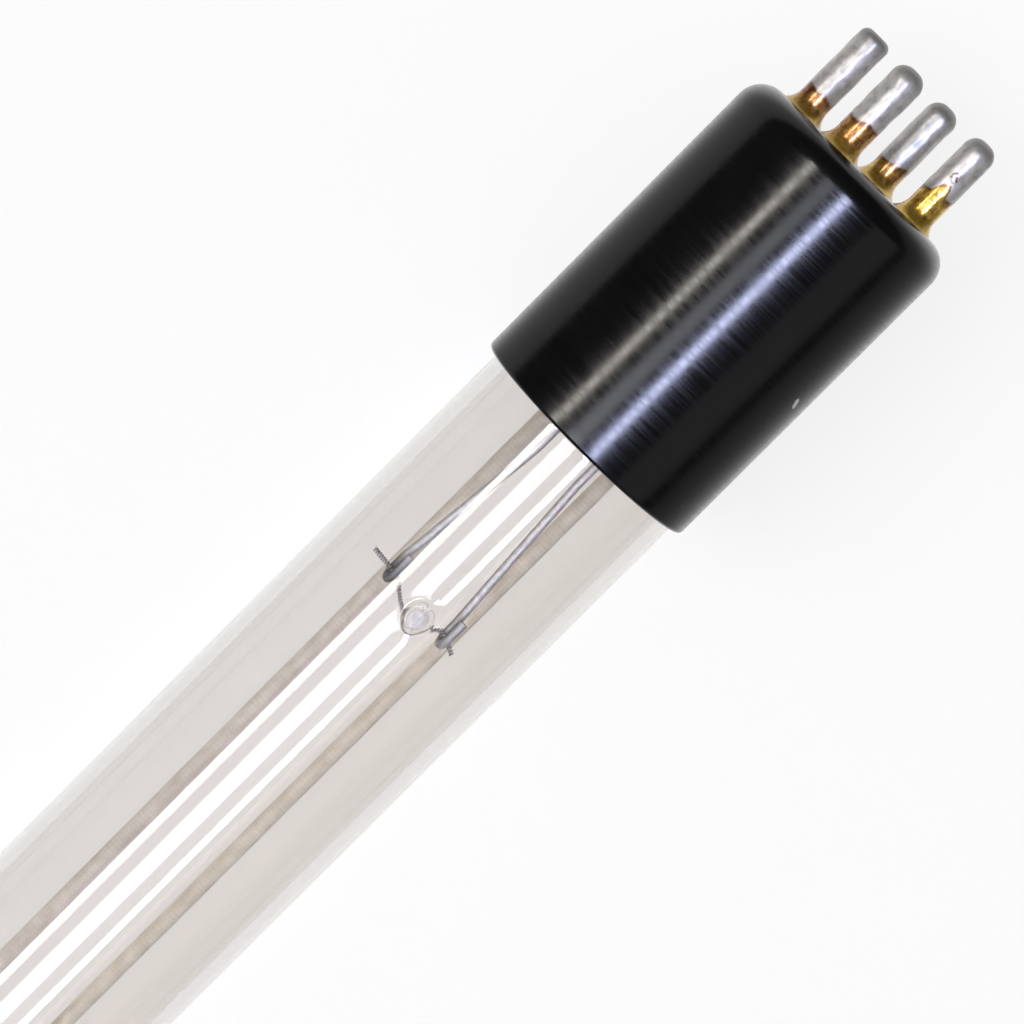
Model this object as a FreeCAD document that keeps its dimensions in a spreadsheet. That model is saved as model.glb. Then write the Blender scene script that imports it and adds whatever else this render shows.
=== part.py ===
import FreeCAD, Part
import math
import os
import re
import Sketcher
from FreeCAD import Placement, Rotation, Vector

# A single-ended ultraviolet quartz lamp, lying on a flat surface.
# The lamp's axis runs along X with the contact pins at the +X end and +Z up.
# In the lamp's own drawing, x = 0 is the face that the pins stand on and the tube lies at negative x.
# The far end is drawn the same way and turned half round about Z.

# Driving dimensions in millimetres, angles in degrees
SIZES = {
    # Whole lamp
    "lamp_length": 212.0,
    # Quartz tube, drawn down to a flat press seal at each end
    "tube_od": 16.4,
    "tube_wall": 1.0,
    "far_setback": 3.0,
    "press_thickness": 3.0,
    "neck_length": 5.5,
    "neck_wall": 0.8,
    "slot_thickness": 1.0,
    # Exhaust tip, the sealed stub of the pumping tube
    "tip_station": 15.2,
    "tip_offset": 0.6,
    "tip_od": 1.6,
    "tip_height": 1.3,
    "tip_flare": 0.6,
    "tip_bore": 0.7,
    # Caps and their cement
    "cap_wall": 0.55,
    "cement_gap": 0.2,
    "cement_inset": 0.5,
    "cement_length": 4.0,
    "base_length": 25.5,
    "base_floor": 3.0,
    "base_round": 2.0,
    "far_length": 20.0,
    "far_floor": 1.5,
    "far_round": 2.0,
    "rim_bevel": 0.35,
    # Contact pins
    "pin_od": 2.35,
    "pin_bore": 1.3,
    "pin_length": 7.1,
    "pin_row_long": 7.92,
    "pin_row_short": 6.35,
    "pin_turn": 32.5,
    "flange_od": 3.4,
    "flare_height": 1.1,
    "rivet_od": 3.1,
    "rivet_height": 0.4,
    "dome_round": 1.0,
    "blunt_round": 0.6,
    "solder_depth": 2.0,
    # Foils and leads in the press seals
    "foil_inset": 1.0,
    "foil_width": 2.2,
    "foil_thickness": 0.05,
    "post_hold": 1.0,
    "post_spread": 3.64,
    "post_od": 0.62,
    "lead_od": 0.4,
    "lead_clear": 1.2,
    "lead_bend": 0.6,
    # Hooked posts and the coil that they hold
    "post_straight": 2.6,
    "coil_station": 15.7,
    "coil_skew": 0.66,
    "coil_sag": 1.1,
    "hook_spread": 5.64,
    "hook_turn": 20.0,
    "hook_gap": 0.02,
    "hook_tail": 1.6,
    "coil_od": 0.42,
    "coil_wire": 0.14,
    "coil_pitch": 0.55,
    "long_tail": 2.0,
    "short_tail": 1.1,
    # Return wires in woven sleeves under the tube
    "sleeve_od": 1.4,
    "sleeve_bore": 0.5,
    "sleeve_gap": 0.02,
    "sleeve_insert": 4.4,
    "notch_depth": 7.2,
    "notch_gap": 0.05,
    "run_inset": 1.0,
    # Mercury
    "bead_od": 0.9,
    "bead_station": 32.0,
}

# Measures that follow from the driving ones. The base end of the tube stands back by a third of its cap.
BASE_SETBACK = "(base_length / 3)"
CAP_BORE = "(tube_od + 2 * cement_gap)"
CAP_OD = "(tube_od + 2 * cement_gap + 2 * cap_wall)"
TUBE_ID = "(tube_od - 2 * tube_wall)"
SLEEVE_RADIUS = "((tube_od + sleeve_od) / 2 + sleeve_gap)"
SLEEVE_DROP = f"(({CAP_OD} - sleeve_od) / 2)"
SLEEVE_SIDE = f"sqrt({SLEEVE_RADIUS}^2 - {SLEEVE_DROP}^2)"
RUN_SHARE = f"(({CAP_BORE} / 2 - run_inset) / {SLEEVE_RADIUS})"
HOOK_RADIUS = "((coil_od / 2 + post_od / 2 + hook_gap) / cos(hook_turn))"
RIVET_END = "(base_floor + rivet_height)"

# How many flats stand for a quarter round, for a small or hidden one, for a thin wire's round, for one turn of
# the coil, for a sleeve's channel and for the drop of mercury
ROUND_CHORDS = 3
SMALL_CHORDS = 2
WIRE_SIDES = 6
COIL_STEPS = 6
NOTCH_SIDES = 8
BEAD_SIDES = 12
# The widest turn in degrees that a wire makes from one straight step of a bend to the next
BEND_STEP = 22.6

doc = FreeCAD.newDocument("uvc_lamp_tube")
sheet = doc.addObject("Spreadsheet::Sheet", "Sizes")
for row, (size_name, size) in enumerate(SIZES.items(), start=1):
    sheet.set(f"A{row}", size_name)
    sheet.set(f"B{row}", str(size))
    sheet.setAlias(f"B{row}", size_name)
doc.recompute()

pieces = []


def bound(text):
    """An expression text in which each size name points at its cell in the sheet."""
    return re.sub(r"[a-z]+(?:_[a-z]+)+", lambda word: "Sizes." + word.group(), text)


def value(text):
    """The number that an expression text stands for now."""
    return float(sheet.evalExpression(bound(text)))


# Sketches

def new_sketch(body, name, plane, along="0", x="0", y="0"):
    """A sketch on one of the body's own planes, moved by expressions in the sketch's own directions."""
    sketch = body.newObject("Sketcher::SketchObject", name)
    support = next(item for item in body.Origin.OriginFeatures if item.Role == plane)
    sketch.AttachmentSupport = [(support, "")]
    sketch.MapMode = "FlatFace"
    for direction, text in (("x", x), ("y", y), ("z", along)):
        if text != "0":
            sketch.setExpression("AttachmentOffset.Base." + direction, bound(text))
    return sketch


def fix_point(sketch, geometry, position, x, y):
    """Hold a point of a sketch at the place that two expressions give."""
    for kind, text, axis in (("DistanceX", x, -2), ("DistanceY", y, -1)):
        if text == "0":
            sketch.addConstraint(Sketcher.Constraint("PointOnObject", geometry, position, axis))
            continue
        held = Sketcher.Constraint(kind, -1, 1, geometry, position, value(text))
        index = sketch.addConstraint(held)
        sketch.setExpression(f"Constraints[{index}]", bound(text))


def draw_outline(sketch, corners):
    """A closed outline of straight sides through corners that expressions place."""
    sides = []
    for index, corner in enumerate(corners):
        following = corners[(index + 1) % len(corners)]
        start = Vector(value(corner[0]), value(corner[1]), 0)
        end = Vector(value(following[0]), value(following[1]), 0)
        sides.append(sketch.addGeometry(Part.LineSegment(start, end), False))
    for side, following, corner in zip(sides, sides[1:] + sides[:1], corners):
        sketch.addConstraint(Sketcher.Constraint("Coincident", side, 2, following, 1))
        fix_point(sketch, side, 1, corner[0], corner[1])


def round_corners(x, y, radius, first, last, chords=SMALL_CHORDS):
    """The corners between the ends of an arc about a centre, for an outline that follows it in chords."""
    corners = []
    for step in range(1, chords):
        angle = math.radians(first + (last - first) * step / chords)
        reach_x = f"{radius} * {math.cos(angle):.9f}"
        reach_y = f"{radius} * {math.sin(angle):.9f}"
        corners.append((f"{x} + {reach_x}", f"{y} + {reach_y}"))
    return corners


def draw_circle(sketch, x, y, radius):
    """A circle whose place and radius follow expressions."""
    circle = Part.Circle(Vector(value(x), value(y), 0), Vector(0, 0, 1), value(radius))
    side = sketch.addGeometry(circle, False)
    fix_point(sketch, side, 3, x, y)
    index = sketch.addConstraint(Sketcher.Constraint("Radius", side, value(radius)))
    sketch.setExpression(f"Constraints[{index}]", bound(radius))


def draw_polygon(sketch, x, y, across, sides=WIRE_SIDES):
    """An even polygon as wide across its corners as a wire, with a corner on the second axis."""
    corners = []
    for step in range(sides):
        angle = 2 * math.pi * step / sides
        reach_x = f"{across} / 2 * {math.sin(angle):.9f}"
        reach_y = f"{across} / 2 * {math.cos(angle):.9f}"
        corners.append((f"{x} + {reach_x}", f"{y} + {reach_y}"))
    draw_outline(sketch, corners)


def draw_foil_section(sketch, side):
    """A foil's thin section, on the side of the axis that the sign gives."""
    near = f"{side}((post_spread - foil_width) / 2)"
    away = f"{side}((post_spread + foil_width) / 2)"
    left, right = (near, away) if side == "" else (away, near)
    draw_outline(sketch, [
        (left, "-foil_thickness / 2"),
        (right, "-foil_thickness / 2"),
        (right, "foil_thickness / 2"),
        (left, "foil_thickness / 2"),
    ])


# Bodies and their features

def new_body(label):
    """A body that is handed over as one piece."""
    body = doc.addObject("PartDesign::Body", label)
    body.Label = label
    pieces.append(body)
    return body


def seat_at_base(piece, y="0", z="0"):
    """Put a piece of the base end in place: the pins' face is at x = 0 of its drawing."""
    piece.setExpression("Placement.Base.x", bound("(lamp_length - pin_length) / 2"))
    if y != "0":
        piece.setExpression("Placement.Base.y", bound(y))
    piece.setExpression("Placement.Base.z", bound(f"{CAP_OD} / 2 + {z}"))


def seat_at_far_end(piece):
    """Put a piece of the far end in place, turned half round, with the lamp's end at its x = 0."""
    piece.Placement = Placement(Vector(0, 0, 0), Rotation(Vector(0, 0, 1), 180))
    piece.setExpression("Placement.Base.x", bound("-(lamp_length + pin_length) / 2"))
    piece.setExpression("Placement.Base.z", bound(f"{CAP_OD} / 2"))


def turn(body, sketch, name, axis="H_Axis", removes=False):
    """Turn a sketch about one of its own axes, to add to the body or to cut from it."""
    feature = body.newObject("PartDesign::Groove" if removes else "PartDesign::Revolution", name)
    feature.Profile = sketch
    feature.ReferenceAxis = (sketch, [axis])
    feature.Angle = 360
    return feature


def extrude(body, sketch, name, length, removes=False, to_pins=False):
    """Extrude a sketch along the lamp's axis, away from the pins unless to_pins is set."""
    feature = body.newObject("PartDesign::Pocket" if removes else "PartDesign::Pad", name)
    feature.Profile = sketch
    feature.setExpression("Length", bound(length))
    feature.Reversed = to_pins if removes else not to_pins
    return feature


def cut_wedge(body, name, end, foot, top, half_thickness, half_height):
    """Cut the space above and below a flattened end: flat from end to foot, then sloping out to the top.

    end, foot and top are places along the axis, and the space runs right across the body.
    """
    for side in ("", "-"):
        sketch = new_sketch(body, f"{name}_{'over' if side == '' else 'under'}", "XZ_Plane")
        draw_outline(sketch, [
            (end, f"{side}({half_thickness})"),
            (foot, f"{side}({half_thickness})"),
            (top, f"{side}({half_height})"),
            (top, f"{side}({half_height} + tube_wall)"),
            (end, f"{side}({half_height} + tube_wall)"),
        ])
        pocket = body.newObject("PartDesign::Pocket", sketch.Name + "_cut")
        pocket.Profile = sketch
        pocket.Midplane = True
        pocket.setExpression("Length", bound("tube_od * 2"))


def pin_place(number):
    """Where a contact pin stands, across the lamp and up, on a rectangle that is turned about the axis."""
    long_sign = -1 if number in (1, 2) else 1
    short_sign = 1 if number in (2, 4) else -1
    y = f"-({long_sign} * pin_row_long * cos(pin_turn) + {short_sign} * pin_row_short * sin(pin_turn)) / 2"
    z = f"({short_sign} * pin_row_short * cos(pin_turn) - {long_sign} * pin_row_long * sin(pin_turn)) / 2"
    return y, z


def dome_of(number):
    """Pin 1 is blunt, the others end in a full dome."""
    return "blunt_round" if number == 1 else "dome_round"


def cut_sleeve_notches(body, rim, depth):
    """Two flat-sided channels in an underside, from a cap's rim, for the sleeves of the return wires."""
    sketch = new_sketch(body, body.Name + "_notches", "YZ_Plane", along=f"-{rim}")
    across = f"((sleeve_od + 2 * notch_gap) / {math.cos(math.pi / NOTCH_SIDES):.9f})"
    for side in ("", "-"):
        draw_polygon(sketch, f"{side}{SLEEVE_SIDE}", f"-{SLEEVE_DROP}", across, NOTCH_SIDES)
    extrude(body, sketch, body.Name + "_notch_cut", depth, removes=True, to_pins=True)


# Caps and cement

def make_cap(label, length, floor, shoulder, chords):
    """A turned black cup that closes on the tube's end, with a round shoulder."""
    body = new_body(label)
    profile = new_sketch(body, label + "_profile", "XY_Plane")
    draw_outline(profile, [
        ("0", "0"),
        ("0", f"{CAP_OD} / 2 - {shoulder}"),
        *round_corners(f"-{shoulder}", f"({CAP_OD} / 2 - {shoulder})", shoulder, 0, 90, chords),
        (f"-{shoulder}", f"{CAP_OD} / 2"),
        (f"rim_bevel - {length}", f"{CAP_OD} / 2"),
        (f"-{length}", f"{CAP_OD} / 2 - rim_bevel"),
        (f"-{length}", f"{CAP_BORE} / 2"),
        (f"-{floor}", f"{CAP_BORE} / 2"),
        (f"-{floor}", "0"),
    ])
    turn(body, profile, label + "_turned")
    cut_sleeve_notches(body, length, "notch_depth")
    return body


def make_base_cap():
    body = make_cap("base_cap", "base_length", "base_floor", "base_round", ROUND_CHORDS)
    holes = new_sketch(body, "pin_holes", "YZ_Plane")
    for number in range(1, 5):
        y, z = pin_place(number)
        draw_circle(holes, y, z, "pin_od / 2")
    extrude(body, holes, "pin_hole_cut", "base_floor", removes=True)
    seat_at_base(body)


def make_far_cap():
    seat_at_far_end(make_cap("far_cap", "far_length", "far_floor", "far_round", SMALL_CHORDS))


def make_cement(label, rim):
    """The ring of cement between a cap and the tube, open at the underside where the sleeves pass."""
    body = new_body(label)
    ring = new_sketch(body, label + "_ring", "YZ_Plane", along=f"cement_inset - {rim}")
    draw_circle(ring, "0", "0", f"{CAP_BORE} / 2")
    draw_circle(ring, "0", "0", "tube_od / 2")
    extrude(body, ring, label + "_pad", "cement_length", to_pins=True)
    opening = new_sketch(body, label + "_opening", "YZ_Plane", along=f"cement_inset - {rim}")
    level = f"(sleeve_od / 2 + notch_gap - {SLEEVE_DROP})"
    draw_outline(opening, [
        ("-tube_od / 2", f"-{CAP_OD} / 2"),
        ("tube_od / 2", f"-{CAP_OD} / 2"),
        ("tube_od / 2", level),
        ("-tube_od / 2", level),
    ])
    extrude(body, opening, label + "_opening_cut", "cement_length", removes=True, to_pins=True)
    return body


# Contact pins

def make_contact_pin(number):
    """A hollow brass pin with a flared foot outside the cap and a riveted rim inside it."""
    dome = dome_of(number)
    body = new_body(f"contact_pin_{number}")
    profile = new_sketch(body, f"pin_profile_{number}", "XY_Plane")
    draw_outline(profile, [
        (f"-{RIVET_END}", "pin_bore / 2"),
        (f"pin_length - {dome}", "pin_bore / 2"),
        (f"pin_length - {dome}", "pin_od / 2"),
        ("flare_height", "pin_od / 2"),
        ("0", "flange_od / 2"),
        ("0", "pin_od / 2"),
        ("-base_floor", "pin_od / 2"),
        ("-base_floor", "rivet_od / 2"),
        (f"-{RIVET_END}", "rivet_od / 2"),
    ])
    turn(body, profile, f"pin_turned_{number}")
    seat_at_base(body, *pin_place(number))


def make_pin_solder(number):
    """The solder that fills a pin's open end down to its wire and stands over it as a dome."""
    dome = dome_of(number)
    body = new_body(f"pin_solder_{number}")
    profile = new_sketch(body, f"solder_profile_{number}", "XY_Plane")
    draw_outline(profile, [
        (f"pin_length - {dome} - solder_depth", "0"),
        ("pin_length", "0"),
        ("pin_length", f"pin_od / 2 - {dome}"),
        *round_corners(f"(pin_length - {dome})", f"(pin_od / 2 - {dome})", dome, 0, 90),
        (f"pin_length - {dome}", "pin_od / 2"),
        (f"pin_length - {dome}", "pin_bore / 2"),
        (f"pin_length - {dome} - solder_depth", "pin_bore / 2"),
    ])
    turn(body, profile, f"solder_turned_{number}")
    seat_at_base(body, *pin_place(number))


# Quartz tube

def press_end(length):
    """Where the flat of a press seal ends, behind the lamp's end. The neck opens up to the cement."""
    return f"({length} - cement_inset - cement_length - neck_length)"


def cut_seal(body, end, outer, foot, way):
    """Cut the holes and slits that hold the leads, foils and posts in one press seal.

    The flat quartz runs from outer to foot, and way is the sign of that step.
    """
    to_pins = way == "+"
    lead_holes = new_sketch(body, f"{end}_lead_holes", "YZ_Plane", along=outer)
    foil_slits = new_sketch(body, f"{end}_foil_slits", "YZ_Plane", along=f"{outer} {way} foil_inset")
    post_holes = new_sketch(body, f"{end}_post_holes", "YZ_Plane", along=f"{foot} {way} (-post_hold)")
    for side in ("", "-"):
        draw_foil_section(foil_slits, side)
        draw_polygon(lead_holes, f"{side}(post_spread / 2)", "0", "lead_od")
        draw_polygon(post_holes, f"{side}(post_spread / 2)", "0", "post_od")
    foil_length = f"{way}(({foot}) - ({outer})) - foil_inset - post_hold"
    extrude(body, lead_holes, f"{end}_lead_cut", "foil_inset", removes=True, to_pins=to_pins)
    extrude(body, foil_slits, f"{end}_foil_cut", foil_length, removes=True, to_pins=to_pins)
    extrude(body, post_holes, f"{end}_post_cut", "post_hold + neck_wall", removes=True, to_pins=to_pins)


def make_quartz_tube():
    """A tube pressed flat at each end, with the stub of its pumping tube on top.

    The glass and the space in it are two bodies, and the tube is the one cut by the other.
    """
    base_foot = f"-{press_end('base_length')}"
    far_foot = f"{press_end('far_length')} - lamp_length"
    ends = (
        ("base", f"-{BASE_SETBACK}", base_foot, "-"),
        ("far", "far_setback - lamp_length", far_foot, "+"),
    )
    centre = "-base_length - tip_station"
    tip_top = "(tube_od / 2 + tip_height)"
    tip_foot = "(tube_od / 2 - tube_wall / 2)"
    flare_side = "(tip_od / 2 + tip_flare)"
    flare_level = "(tube_od / 2 + tip_flare * 2 / 3)"

    glass = doc.addObject("PartDesign::Body", "tube_glass")
    barrel = new_sketch(glass, "barrel_circle", "YZ_Plane", along=f"-{BASE_SETBACK}")
    draw_circle(barrel, "0", "0", "tube_od / 2")
    extrude(glass, barrel, "barrel", f"lamp_length - {BASE_SETBACK} - far_setback")
    for name, outer, foot, way in ends:
        top = f"{foot} {way} neck_length"
        cut_wedge(glass, f"{name}_press", outer, foot, top, "press_thickness / 2", "tube_od / 2")
    tip = new_sketch(glass, "tip_profile", "XZ_Plane", along="-tip_offset", x=centre)
    draw_outline(tip, [
        ("0", tip_foot),
        (flare_side, tip_foot),
        (flare_side, f"{flare_level} - tip_flare"),
        *round_corners(flare_side, flare_level, "tip_flare", 270, 180),
        ("tip_od / 2", flare_level),
        ("tip_od / 2", f"{tip_top} - tip_od / 2"),
        *round_corners("0", f"({tip_top} - tip_od / 2)", "tip_od / 2", 0, 90),
        ("0", tip_top),
    ])
    turn(glass, tip, "tip", axis="V_Axis")
    for name, outer, foot, way in ends:
        cut_seal(glass, name, outer, foot, way)

    space = doc.addObject("PartDesign::Body", "tube_space")
    bore = new_sketch(space, "bore_circle", "YZ_Plane", along=f"{base_foot} - neck_wall")
    draw_circle(bore, "0", "0", f"{TUBE_ID} / 2")
    extrude(space, bore, "bore", f"({base_foot}) - ({far_foot}) - 2 * neck_wall")
    for name, outer, foot, way in ends:
        inner_foot = f"{foot} {way} neck_wall"
        top = f"{foot} {way} neck_length"
        cut_wedge(space, f"{name}_end", outer, inner_foot, top, "slot_thickness / 2", f"{TUBE_ID} / 2")
    hollow = new_sketch(space, "tip_hollow_profile", "XZ_Plane", along="-tip_offset", x=centre)
    hollow_foot = "(tube_od / 2 - tube_wall - tip_bore)"
    hollow_top = f"({tip_top} - (tip_od - tip_bore) / 2)"
    draw_outline(hollow, [
        ("0", hollow_foot),
        ("tip_bore / 2", hollow_foot),
        ("tip_bore / 2", hollow_top),
        ("0", hollow_top),
    ])
    turn(space, hollow, "tip_hollow", axis="V_Axis")

    tube = doc.addObject("Part::Cut", "quartz_tube")
    tube.Label = "quartz_tube"
    tube.Base = glass
    tube.Tool = space
    pieces.append(tube)
    seat_at_base(tube)


def make_seal_foil(label, length, setback, side, seat):
    """One thin foil in a press seal, between a post and its outer lead."""
    body = new_body(label)
    section = new_sketch(body, label + "_section", "YZ_Plane", along=f"-{setback} - foil_inset")
    draw_foil_section(section, side)
    extrude(body, section, label + "_pad", f"{press_end(length)} - {setback} - foil_inset - post_hold")
    seat(body)


# Bent wires

def bent_path(points, bend):
    """Places along a wire through corner points, with each corner rounded in short straight steps."""
    corners = [Vector(*point) for point in points]
    places = [corners[0]]
    for before, corner, after in zip(corners, corners[1:], corners[2:]):
        way_in = (corner - before).normalize()
        way_out = (after - corner).normalize()
        angle = way_in.getAngle(way_out)
        start = corner - way_in * bend * math.tan(angle / 2)
        centre = corner + (way_out - way_in).normalize() * (bend / math.cos(angle / 2))
        axis = way_in.cross(way_out)
        steps = math.ceil(math.degrees(angle) / BEND_STEP)
        for step in range(steps + 1):
            turn_by = Rotation(axis, math.degrees(angle) * step / steps)
            place = centre + turn_by.multVec(start - centre)
            if (place - places[-1]).Length > 1e-4:
                places.append(place)
    places.append(corners[-1])
    return places


def bent_wire(points, diameter, bend):
    """A thin wire through corner points, with one bend radius at all its corners.

    It starts along X, and its section is an even polygon with a corner on Z. The straight steps meet in mitres.
    """
    places = bent_path(points, bend)
    ways = [(after - before).normalize() for before, after in zip(places, places[1:])]
    across = Vector(0, 1, 0)
    up = ways[0].cross(across)
    ring = []
    for step in range(WIRE_SIDES):
        angle = 2 * math.pi * step / WIRE_SIDES
        ring.append(places[0] + (across * math.sin(angle) + up * math.cos(angle)) * diameter / 2)
    rings = [ring]
    for place, way, next_way in zip(places[1:], ways, ways[1:] + ways[-1:]):
        mitre = way + next_way
        ring = [point + way * ((place - point).dot(mitre) / way.dot(mitre)) for point in ring]
        rings.append(ring)
    solid = ring_solid(rings, split=False)
    length = sum((after - before).Length for before, after in zip(places, places[1:]))
    area = WIRE_SIDES / 2 * (diameter / 2) ** 2 * math.sin(2 * math.pi / WIRE_SIDES)
    if abs(solid.Volume / (area * length) - 1) > 0.01:
        raise RuntimeError("a bent wire has the wrong volume")
    return solid


def ring_solid(rings, split):
    """A solid through rings of points, with flat ends. Sides that aren't flat are split in two."""
    faces = [flat_face(rings[0]), flat_face(rings[-1])]
    count = len(rings[0])
    for ring, following in zip(rings, rings[1:]):
        for corner in range(count):
            beside = (corner + 1) % count
            if split:
                faces.append(flat_face([ring[corner], ring[beside], following[beside]]))
                faces.append(flat_face([ring[corner], following[beside], following[corner]]))
            else:
                faces.append(flat_face([ring[corner], ring[beside], following[beside], following[corner]]))
    shell = Part.makeShell(faces)
    shell.sewShape()
    solid = Part.makeSolid(shell)
    if solid.Volume < 0:
        solid.reverse()
    return solid


def flat_face(points):
    """A flat face through its corner points."""
    return Part.Face(Part.makePolygon(points + points[:1]))


def new_wire(label, points, diameter, bend):
    """A bent wire as a piece of its own."""
    piece = doc.addObject("Part::Feature", label)
    piece.Label = label
    piece.Shape = bent_wire(points, value(diameter), value(bend))
    pieces.append(piece)
    return piece


def make_lead_post(label, rim, side, seat):
    """A post that comes out of the press seal, spreads, and hooks round the coil with its end folded back."""
    seal = value(f"{press_end(rim)} - post_hold")
    seal_y = side * value("post_spread") / 2
    hook_y = side * value("hook_spread") / 2
    hook_x = -value(f"{rim} + coil_station") + side * value("coil_skew") / 2
    radius = value(HOOK_RADIUS)
    turned = math.radians(value("hook_turn"))
    across = radius * math.sin(turned)
    down = radius * math.cos(turned)
    piece = new_wire(label, [
        (-seal, seal_y, 0),
        (-value(f"{rim} + post_straight"), seal_y, 0),
        (hook_x + radius * 2, hook_y + across, -down),
        (hook_x - radius, hook_y + across, -down),
        (hook_x - radius, hook_y - across, down),
        (hook_x + value("hook_tail"), hook_y - across, down),
    ], "post_od", HOOK_RADIUS)
    seat(piece)


def coil_solid(frame, radius, wire, pitch, ends, sag):
    """A coil along the Y direction of a frame, in short straight steps, with a three-sided wire section.

    ends holds where it starts, where it ends and how far out it hangs free of the hooks, sagging to -X.
    """
    start, end, free = ends
    steps = round((end - start) / pitch * COIL_STEPS)
    rings = []
    for step in range(steps + 1):
        angle = 2 * math.pi * step / COIL_STEPS
        middle = start + (end - start) * step / steps
        drop = sag * max(0, 1 - (middle / free) ** 2)
        ring = []
        for out, along in ((-1, 0), (1, -1), (1, 1)):
            reach = radius + out * wire / 2
            place = Vector(reach * math.cos(angle) - drop, middle + along * wire / 2, reach * math.sin(angle))
            ring.append(frame.multVec(place))
        rings.append(ring)
    return ring_solid(rings, split=True)


def make_filament_coil(label, rim, seat):
    """The tungsten coil across the two hooks, with a long tail at one side and a short one at the other."""
    hook = value("hook_spread / 2")
    lean = Rotation(Vector(0, 0, 1), -math.degrees(math.atan2(value("coil_skew"), 2 * hook)))
    coil = doc.addObject("Part::Feature", label)
    coil.Label = label
    coil.Shape = coil_solid(
        Placement(Vector(-value(f"{rim} + coil_station"), 0, 0), lean),
        value("(coil_od - coil_wire) / 2"),
        value("coil_wire"),
        value("coil_pitch"),
        (-hook - value("short_tail"), hook + value("long_tail"), hook - value("post_od")),
        value("coil_sag"),
    )
    pieces.append(coil)
    seat(coil)


def make_outer_lead(label, side, pin):
    """A lead from a foil of the base seal into a contact pin."""
    seal_y = side * value("post_spread") / 2
    y, z = (value(text) for text in pin_place(pin))
    end = value(f"pin_length - {dome_of(pin)} - solder_depth")
    piece = new_wire(label, [
        (-value(f"{BASE_SETBACK} + foil_inset"), seal_y, 0),
        (-value(f"{BASE_SETBACK} - lead_clear"), seal_y, 0),
        (-value(f"{RIVET_END} + lead_clear"), y, z),
        (end, y, z),
    ], "lead_od", "lead_bend")
    seat_at_base(piece)


def make_return_wire(label, side, pin):
    """A wire from a foil of the far seal, along the tube in its sleeve, into a contact pin."""
    seal_y = side * value("post_spread") / 2
    sleeve_y = side * value(SLEEVE_SIDE)
    sleeve_z = -value(SLEEVE_DROP)
    run_y = sleeve_y * value(RUN_SHARE)
    run_z = sleeve_z * value(RUN_SHARE)
    far = -value("lamp_length")
    far_turn = far + value("(far_floor + far_setback) / 2")
    y, z = (value(text) for text in pin_place(pin))
    piece = new_wire(label, [
        (far + value("far_setback + foil_inset"), seal_y, 0),
        (far_turn, seal_y, 0),
        (far_turn, run_y, run_z),
        (far + value("far_length - notch_depth"), run_y, run_z),
        (far + value("far_length - sleeve_insert"), sleeve_y, sleeve_z),
        (-value("base_length - sleeve_insert"), sleeve_y, sleeve_z),
        (-value("base_length - notch_depth"), run_y, run_z),
        (-value(f"{BASE_SETBACK} - lead_clear"), run_y, run_z),
        (-value(f"{RIVET_END} + lead_clear"), y, z),
        (value(f"pin_length - {dome_of(pin)} - solder_depth"), y, z),
    ], "lead_od", "lead_bend")
    seat_at_base(piece)


def make_return_sleeve(label, side):
    """A woven glass sleeve over a return wire, lying along the tube's underside."""
    body = new_body(label)
    section = new_sketch(body, label + "_section", "YZ_Plane", along="sleeve_insert - base_length")
    draw_circle(section, "0", "0", "sleeve_od / 2")
    draw_circle(section, "0", "0", "sleeve_bore / 2")
    length = "lamp_length - base_length - far_length + 2 * sleeve_insert"
    extrude(body, section, label + "_pad", length)
    seat_at_base(body, f"{side}{SLEEVE_SIDE}", f"(0 - {SLEEVE_DROP})")


def make_mercury_bead():
    """A drop of mercury that lies in the tube near its far end, in flat faces."""
    radius = value("bead_od / 2")
    rings = []
    for step in range(BEAD_SIDES // 2):
        angle = 2 * math.pi * (step + 0.5) / BEAD_SIDES
        x = radius * math.cos(angle) / math.cos(math.pi / BEAD_SIDES)
        reach = radius * math.sin(angle) / math.cos(math.pi / BEAD_SIDES)
        ring = []
        for side in range(BEAD_SIDES):
            turned = 2 * math.pi * side / BEAD_SIDES
            ring.append(Vector(x, reach * math.sin(turned), reach * math.cos(turned)))
        rings.append(ring)
    bead = doc.addObject("Part::Feature", "mercury_bead")
    bead.Label = "mercury_bead"
    bead.Shape = ring_solid(rings, split=False)
    pieces.append(bead)
    bead.setExpression("Placement.Base.x", bound("bead_station - (lamp_length + pin_length) / 2"))
    bead.setExpression("Placement.Base.z", bound(f"({CAP_OD} - {TUBE_ID} + bead_od) / 2"))


make_base_cap()
make_far_cap()
seat_at_base(make_cement("base_cement", "base_length"))
seat_at_far_end(make_cement("far_cement", "far_length"))
for pin_number in range(1, 5):
    make_contact_pin(pin_number)
    make_pin_solder(pin_number)
make_quartz_tube()
make_seal_foil("seal_foil_1", "base_length", BASE_SETBACK, "", seat_at_base)
make_seal_foil("seal_foil_2", "base_length", BASE_SETBACK, "-", seat_at_base)
make_seal_foil("seal_foil_3", "far_length", "far_setback", "", seat_at_far_end)
make_seal_foil("seal_foil_4", "far_length", "far_setback", "-", seat_at_far_end)
make_lead_post("lead_post_1", "base_length", 1, seat_at_base)
make_lead_post("lead_post_2", "base_length", -1, seat_at_base)
make_lead_post("lead_post_3", "far_length", 1, seat_at_far_end)
make_lead_post("lead_post_4", "far_length", -1, seat_at_far_end)
make_filament_coil("filament_coil_1", "base_length", seat_at_base)
make_filament_coil("filament_coil_2", "far_length", seat_at_far_end)
make_outer_lead("outer_lead_1", 1, 2)
make_outer_lead("outer_lead_2", -1, 4)
make_return_wire("return_wire_1", 1, 1)
make_return_wire("return_wire_2", -1, 3)
make_return_sleeve("return_sleeve_1", "")
make_return_sleeve("return_sleeve_2", "-")
make_mercury_bead()

doc.recompute()

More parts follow.
